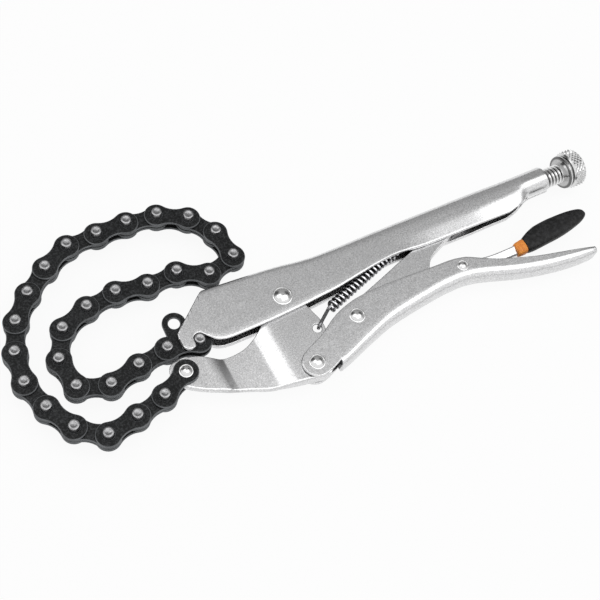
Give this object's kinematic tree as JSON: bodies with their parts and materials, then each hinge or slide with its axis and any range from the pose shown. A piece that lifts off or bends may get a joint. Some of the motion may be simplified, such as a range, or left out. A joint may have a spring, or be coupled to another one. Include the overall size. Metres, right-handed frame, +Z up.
{
  "type": "chain oil filter wrench",
  "caption": "Locking-plier oil filter wrench with a hinged link chain held in a hook, a movable jaw, toggle link, release lever and knurled adjusting screw.",
  "frame": {"origin": "centre of the footprint at the underside of the knob, the lowest point", "axes": "+X along the fixed handle towards the knob, +Y from the lower handle towards the fixed handle, +Z up along the chain pins"},
  "size_m": [0.3238, 0.123, 0.0198],
  "materials": {
    "satin_steel": "satin nickel-plated pressed steel",
    "rivet_steel": "bright domed rivet heads",
    "bright_steel": "bright plated turned steel",
    "spring_steel": "dark spring wire",
    "pin_steel": "plain steel pin ends",
    "chain_black": "black oxide chain plates",
    "grip_black": "soft black dipped grip",
    "band_orange": "orange band"
  },
  "bodies": {
    "fixed_handle": {"fixed_handle": "satin_steel", "pivot_rivet": "rivet_steel", "return_spring": "spring_steel"},
    "adjusting_screw": {"adjusting_screw": "bright_steel"},
    "knurled_knob": {"knurled_knob": "bright_steel"},
    "movable_jaw": {"movable_jaw": "satin_steel", "chain_anchor_rivet": "pin_steel"},
    "lower_handle": {"lower_handle": "satin_steel", "handle_rivet": "rivet_steel", "link_rivet": "rivet_steel", "lever_rivet": "rivet_steel"},
    "toggle_link": {"toggle_link": "satin_steel"},
    "release_lever": {"release_lever": "satin_steel", "lever_grip": "grip_black", "grip_band": "band_orange"},
    "chain_link_01": {"outer_link_01": "chain_black", "link_pins_01": "pin_steel"},
    "chain_link_02": {"inner_link_01": "chain_black"},
    "chain_link_03": {"outer_link_02": "chain_black", "link_pins_02": "pin_steel"},
    "chain_link_04": {"inner_link_02": "chain_black"},
    "chain_link_05": {"outer_link_03": "chain_black", "link_pins_03": "pin_steel"},
    "chain_link_06": {"inner_link_03": "chain_black"},
    "chain_link_07": {"outer_link_04": "chain_black", "link_pins_04": "pin_steel"},
    "chain_link_08": {"inner_link_04": "chain_black"},
    "chain_link_09": {"outer_link_05": "chain_black", "link_pins_05": "pin_steel"},
    "chain_link_10": {"inner_link_05": "chain_black"},
    "chain_link_11": {"outer_link_06": "chain_black", "link_pins_06": "pin_steel"},
    "chain_link_12": {"inner_link_06": "chain_black"},
    "chain_link_13": {"outer_link_07": "chain_black", "link_pins_07": "pin_steel"},
    "chain_link_14": {"inner_link_07": "chain_black"},
    "chain_link_15": {"outer_link_08": "chain_black", "link_pins_08": "pin_steel"},
    "chain_link_16": {"inner_link_08": "chain_black"},
    "chain_link_17": {"outer_link_09": "chain_black", "link_pins_09": "pin_steel"},
    "chain_link_18": {"inner_link_09": "chain_black"},
    "chain_link_19": {"outer_link_10": "chain_black", "link_pins_10": "pin_steel"},
    "chain_link_20": {"inner_link_10": "chain_black"},
    "chain_link_21": {"outer_link_11": "chain_black", "link_pins_11": "pin_steel"},
    "chain_link_22": {"inner_link_11": "chain_black"},
    "chain_link_23": {"outer_link_12": "chain_black", "link_pins_12": "pin_steel"},
    "chain_link_24": {"inner_link_12": "chain_black"},
    "chain_link_25": {"outer_link_13": "chain_black", "link_pins_13": "pin_steel"},
    "chain_link_26": {"inner_link_13": "chain_black"},
    "chain_link_27": {"outer_link_14": "chain_black", "link_pins_14": "pin_steel"},
    "chain_link_28": {"inner_link_14": "chain_black"},
    "chain_link_29": {"outer_link_15": "chain_black", "link_pins_15": "pin_steel"}
  },
  "joints": [
    {"name": "jaw_pivot", "type": "hinge", "parent": "fixed_handle", "child": "movable_jaw", "pos_m": [-0.02663, -0.01451, 0.0099], "axis": [0, 0, 1], "range_deg": [0, 3.6]},
    {"name": "handle_pivot", "type": "hinge", "parent": "movable_jaw", "child": "lower_handle", "pos_m": [-0.02783, -0.05271, 0.0099], "axis": [0, 0, 1], "range_deg": [-28, 0]},
    {"name": "toggle_pivot", "type": "hinge", "parent": "lower_handle", "child": "toggle_link", "pos_m": [0.00217, -0.03931, 0.0099], "axis": [0, 0, 1], "range_deg": [0, 34.5]},
    {"name": "lever_pivot", "type": "hinge", "parent": "lower_handle", "child": "release_lever", "pos_m": [0.06637, -0.03731, 0.0099], "axis": [0, 0, 1], "range_deg": [-6, 0]},
    {"name": "screw_slide", "type": "slide", "parent": "fixed_handle", "child": "adjusting_screw", "axis": [1, 0, 0], "range_m": [0, 0.0035]},
    {"name": "knob_turn", "type": "hinge", "parent": "adjusting_screw", "child": "knurled_knob", "pos_m": [0.15337, -0.00841, 0.0099], "axis": [1, 0, 0], "range_deg": [0, 725]},
    {"name": "chain_joint_01", "type": "hinge", "parent": "movable_jaw", "child": "chain_link_01", "pos_m": [-0.08613, -0.02981, 0.0099], "axis": [0, 0, 1], "range_deg": [-6.35, 0]},
    {"name": "chain_joint_02", "type": "hinge", "parent": "chain_link_01", "child": "chain_link_02", "pos_m": [-0.10042, -0.03671, 0.0099], "axis": [0, 0, 1], "range_deg": [0, 2.29]},
    {"name": "chain_joint_03", "type": "hinge", "parent": "chain_link_02", "child": "chain_link_03", "pos_m": [-0.11584, -0.04049, 0.0099], "axis": [0, 0, 1], "range_deg": [-2.38, 0]},
    {"name": "chain_joint_04", "type": "hinge", "parent": "chain_link_03", "child": "chain_link_04", "pos_m": [-0.13149, -0.04319, 0.0099], "axis": [0, 0, 1], "range_deg": [0, 2.29]},
    {"name": "chain_joint_05", "type": "hinge", "parent": "chain_link_04", "child": "chain_link_05", "pos_m": [-0.14396, -0.03336, 0.0099], "axis": [0, 0, 1], "range_deg": [-3.44, 0]},
    {"name": "chain_joint_06", "type": "hinge", "parent": "chain_link_05", "child": "chain_link_06", "pos_m": [-0.15136, -0.01932, 0.0099], "axis": [0, 0, 1], "range_deg": [0, 2.29]},
    {"name": "chain_joint_07", "type": "hinge", "parent": "chain_link_06", "child": "chain_link_07", "pos_m": [-0.15567, -0.00404, 0.0099], "axis": [0, 0, 1], "range_deg": [0, 2.29]},
    {"name": "chain_joint_08", "type": "hinge", "parent": "chain_link_07", "child": "chain_link_08", "pos_m": [-0.15395, 0.01174, 0.0099], "axis": [0, 0, 1], "range_deg": [0, 2.29]},
    {"name": "chain_joint_09", "type": "hinge", "parent": "chain_link_08", "child": "chain_link_09", "pos_m": [-0.14769, 0.02633, 0.0099], "axis": [0, 0, 1], "range_deg": [0, 3.23]},
    {"name": "chain_joint_10", "type": "hinge", "parent": "chain_link_09", "child": "chain_link_10", "pos_m": [-0.13702, 0.03809, 0.0099], "axis": [0, 0, 1], "range_deg": [-6, 0]},
    {"name": "chain_joint_11", "type": "hinge", "parent": "chain_link_10", "child": "chain_link_11", "pos_m": [-0.12431, 0.04759, 0.0099], "axis": [0, 0, 1], "range_deg": [0, 8]},
    {"name": "chain_joint_12", "type": "hinge", "parent": "chain_link_11", "child": "chain_link_12", "pos_m": [-0.11015, 0.05478, 0.0099], "axis": [0, 0, 1], "range_deg": [0, 2.85]},
    {"name": "chain_joint_13", "type": "hinge", "parent": "chain_link_12", "child": "chain_link_13", "pos_m": [-0.09428, 0.05531, 0.0099], "axis": [0, 0, 1], "range_deg": [0, 0.64]},
    {"name": "chain_joint_14", "type": "hinge", "parent": "chain_link_13", "child": "chain_link_14", "pos_m": [-0.07841, 0.05529, 0.0099], "axis": [0, 0, 1], "range_deg": [-1.38, 0]},
    {"name": "chain_joint_15", "type": "hinge", "parent": "chain_link_14", "child": "chain_link_15", "pos_m": [-0.06266, 0.05333, 0.0099], "axis": [0, 0, 1], "range_deg": [-3.24, 0]},
    {"name": "chain_joint_16", "type": "hinge", "parent": "chain_link_15", "child": "chain_link_16", "pos_m": [-0.04878, 0.04561, 0.0099], "axis": [0, 0, 1], "range_deg": [-3.33, 0]},
    {"name": "chain_joint_17", "type": "hinge", "parent": "chain_link_16", "child": "chain_link_17", "pos_m": [-0.03992, 0.03244, 0.0099], "axis": [0, 0, 1], "range_deg": [-0.29, 0]},
    {"name": "chain_joint_18", "type": "hinge", "parent": "chain_link_17", "child": "chain_link_18", "pos_m": [-0.03801, 0.01668, 0.0099], "axis": [0, 0, 1], "range_deg": [0, 4.18]},
    {"name": "chain_joint_19", "type": "hinge", "parent": "chain_link_18", "child": "chain_link_19", "pos_m": [-0.05335, 0.01259, 0.0099], "axis": [0, 0, 1], "range_deg": [0, 3.2]},
    {"name": "chain_joint_20", "type": "hinge", "parent": "chain_link_19", "child": "chain_link_20", "pos_m": [-0.06751, 0.01977, 0.0099], "axis": [0, 0, 1], "range_deg": [0, 0.41]},
    {"name": "chain_joint_21", "type": "hinge", "parent": "chain_link_20", "child": "chain_link_21", "pos_m": [-0.08337, 0.01919, 0.0099], "axis": [0, 0, 1], "range_deg": [-0.64, 0]},
    {"name": "chain_joint_22", "type": "hinge", "parent": "chain_link_21", "child": "chain_link_22", "pos_m": [-0.09901, 0.02192, 0.0099], "axis": [0, 0, 1], "range_deg": [-2.56, 0]},
    {"name": "chain_joint_23", "type": "hinge", "parent": "chain_link_22", "child": "chain_link_23", "pos_m": [-0.11477, 0.01996, 0.0099], "axis": [0, 0, 1], "range_deg": [-4.16, 0]},
    {"name": "chain_joint_24", "type": "hinge", "parent": "chain_link_23", "child": "chain_link_24", "pos_m": [-0.12947, 0.01398, 0.0099], "axis": [0, 0, 1], "range_deg": [-5.25, 0]},
    {"name": "chain_joint_25", "type": "hinge", "parent": "chain_link_24", "child": "chain_link_25", "pos_m": [-0.13714, 0.00008, 0.0099], "axis": [0, 0, 1], "range_deg": [-2.14, 0]},
    {"name": "chain_joint_26", "type": "hinge", "parent": "chain_link_25", "child": "chain_link_26", "pos_m": [-0.13518, -0.01567, 0.0099], "axis": [0, 0, 1], "range_deg": [0, 3.19]},
    {"name": "chain_joint_27", "type": "hinge", "parent": "chain_link_26", "child": "chain_link_27", "pos_m": [-0.12035, -0.02133, 0.0099], "axis": [0, 0, 1], "range_deg": [0, 2.45]},
    {"name": "chain_joint_28", "type": "hinge", "parent": "chain_link_27", "child": "chain_link_28", "pos_m": [-0.10488, -0.01776, 0.0099], "axis": [0, 0, 1], "range_deg": [-1.15, 0]},
    {"name": "chain_joint_29", "type": "hinge", "parent": "chain_link_28", "child": "chain_link_29", "pos_m": [-0.08916, -0.01555, 0.0099], "axis": [0, 0, 1], "range_deg": [-2.75, 0]}
  ],
  "couplings": [
    {"joint": "jaw_pivot", "follows": "handle_pivot", "ratio": -0.125},
    {"joint": "toggle_pivot", "follows": "handle_pivot", "ratio": -1.215},
    {"joint": "knob_turn", "follows": "screw_slide", "rad_per_m": 3590.4},
    {"joint": "chain_joint_01", "follows": "handle_pivot", "ratio": 0.22055},
    {"joint": "chain_joint_02", "follows": "handle_pivot", "ratio": -0.07857},
    {"joint": "chain_joint_03", "follows": "handle_pivot", "ratio": 0.08161},
    {"joint": "chain_joint_04", "follows": "handle_pivot", "ratio": -0.07857},
    {"joint": "chain_joint_05", "follows": "handle_pivot", "ratio": 0.11865},
    {"joint": "chain_joint_06", "follows": "handle_pivot", "ratio": -0.07857},
    {"joint": "chain_joint_07", "follows": "handle_pivot", "ratio": -0.07857},
    {"joint": "chain_joint_08", "follows": "handle_pivot", "ratio": -0.07857},
    {"joint": "chain_joint_09", "follows": "handle_pivot", "ratio": -0.11131},
    {"joint": "chain_joint_10", "follows": "handle_pivot", "ratio": 0.20835},
    {"joint": "chain_joint_12", "follows": "chain_joint_11", "ratio": 0.34357},
    {"joint": "chain_joint_13", "follows": "chain_joint_11", "ratio": 0.0718},
    {"joint": "chain_joint_14", "follows": "chain_joint_11", "ratio": -0.16276},
    {"joint": "chain_joint_15", "follows": "chain_joint_11", "ratio": -0.39042},
    {"joint": "chain_joint_16", "follows": "chain_joint_11", "ratio": -0.40155},
    {"joint": "chain_joint_17", "follows": "chain_joint_11", "ratio": -0.02898},
    {"joint": "chain_joint_18", "follows": "chain_joint_11", "ratio": 0.50584},
    {"joint": "chain_joint_19", "follows": "chain_joint_11", "ratio": 0.38643},
    {"joint": "chain_joint_20", "follows": "chain_joint_11", "ratio": 0.04464},
    {"joint": "chain_joint_21", "follows": "chain_joint_11", "ratio": -0.07288},
    {"joint": "chain_joint_22", "follows": "chain_joint_11", "ratio": -0.3071},
    {"joint": "chain_joint_23", "follows": "chain_joint_11", "ratio": -0.50424},
    {"joint": "chain_joint_24", "follows": "chain_joint_11", "ratio": -0.63736},
    {"joint": "chain_joint_25", "follows": "chain_joint_11", "ratio": -0.25596},
    {"joint": "chain_joint_26", "follows": "chain_joint_11", "ratio": 0.38517},
    {"joint": "chain_joint_27", "follows": "chain_joint_11", "ratio": 0.29385},
    {"joint": "chain_joint_28", "follows": "chain_joint_11", "ratio": -0.13531},
    {"joint": "chain_joint_29", "follows": "chain_joint_11", "ratio": -0.33045}
  ]
}
